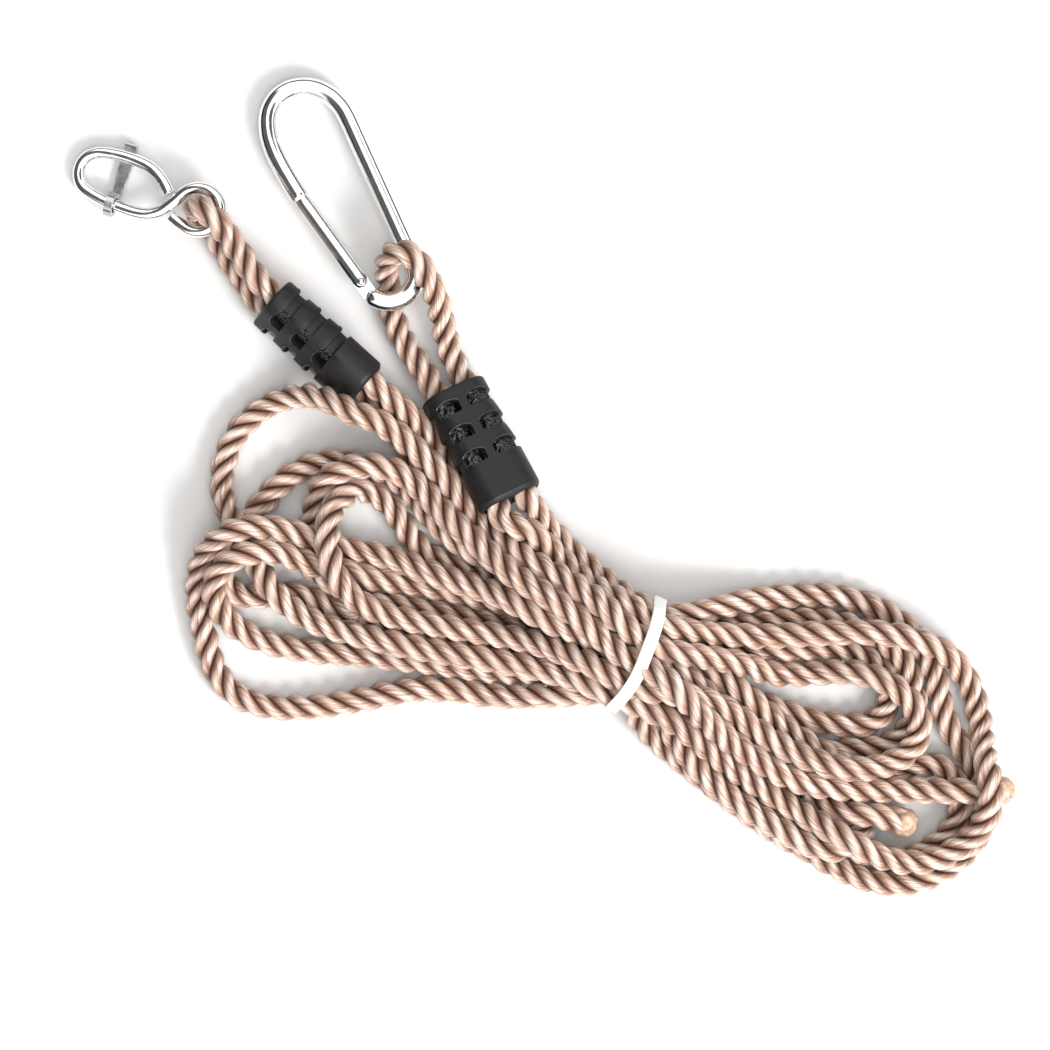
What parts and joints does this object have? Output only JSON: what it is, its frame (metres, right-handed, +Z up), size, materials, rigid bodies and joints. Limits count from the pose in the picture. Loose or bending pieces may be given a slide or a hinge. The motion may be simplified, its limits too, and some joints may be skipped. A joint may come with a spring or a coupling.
{
  "type": "adjustable hanging rope",
  "caption": "Laid rope tied in a hank, with a spring carabiner in one end eye and a bent-wire hook with keeper in the other, each eye drawn through a two-channel length adjuster.",
  "frame": {"origin": "on the surface that the laid-out object rests on, under the middle of its outer box", "axes": "+X along the longest extent, from the hook's end to the rope tails; +Y towards the carabiner's end; +Z up from the surface"},
  "size_m": [0.3568, 0.3078, 0.0417],
  "materials": {
    "rope": "glossy three-strand laid synthetic rope, satin",
    "tie_band": "translucent white, soft",
    "adjuster_plastic": "moulded black, fine matt texture",
    "bright_steel": "bright plated, polished",
    "pressed_steel": "satin pressed strip",
    "spring_steel": "drawn wire"
  },
  "bodies": {
    "hank": {"rope_hank": "rope", "rope_leg_1a": "rope", "rope_leg_1b": "rope", "rope_leg_2a": "rope", "rope_leg_2b": "rope", "rope_tail_a": "rope", "rope_tail_b": "rope", "tie_band": "tie_band"},
    "adjuster_hook_side": {"adjuster_1": "adjuster_plastic"},
    "adjuster_carabiner_side": {"adjuster_2": "adjuster_plastic"},
    "hook_eye": {"rope_eye_hook": "rope"},
    "hook": {"hook_body": "bright_steel"},
    "keeper": {"hook_keeper": "pressed_steel"},
    "carabiner_eye": {"rope_eye_carabiner": "rope", "carabiner_body": "bright_steel", "gate_rivet": "bright_steel"},
    "gate": {"carabiner_gate": "bright_steel", "gate_plunger": "pressed_steel", "gate_spring": "spring_steel"}
  },
  "joints": [
    {"name": "adjuster_1_slide", "type": "slide", "parent": "hank", "child": "adjuster_hook_side", "axis": [-0.7407, 0.6718, 0], "range_m": [0, 0.005]},
    {"name": "adjuster_2_slide", "type": "slide", "parent": "hank", "child": "adjuster_carabiner_side", "axis": [-0.4664, 0.8617, -0.1998], "range_m": [0, 0.008]},
    {"name": "hook_eye_lift", "type": "hinge", "parent": "hank", "child": "hook_eye", "pos_m": [-0.11157, 0.07653, 0.02261], "axis": [0.6718, 0.7407, 0], "range_deg": [0, 75]},
    {"name": "hook_pivot", "type": "hinge", "parent": "hook_eye", "child": "hook", "pos_m": [-0.12355, 0.09888, 0.01287], "axis": [0.5364, 0.8429, 0.0424], "range_deg": [0, 18]},
    {"name": "keeper_hinge", "type": "hinge", "parent": "hook", "child": "keeper", "pos_m": [-0.16358, 0.1058, 0.00546], "axis": [-0.9381, 0.295, -0.1816], "range_deg": [0, 35], "stiffness_Nm_per_rad": 0.006, "springref_deg": -20.05},
    {"name": "carabiner_eye_lift", "type": "hinge", "parent": "hank", "child": "carabiner_eye", "pos_m": [-0.04038, 0.04526, 0.0151], "axis": [0.8794, 0.476, 0], "range_deg": [0, 75]},
    {"name": "gate_hinge", "type": "hinge", "parent": "carabiner_eye", "child": "gate", "pos_m": [-0.06903, 0.07614, 0.01294], "axis": [0.0463, -0.1086, -0.993], "range_deg": [0, 26], "stiffness_Nm_per_rad": 0.03, "springref_deg": -17.19}
  ]
}
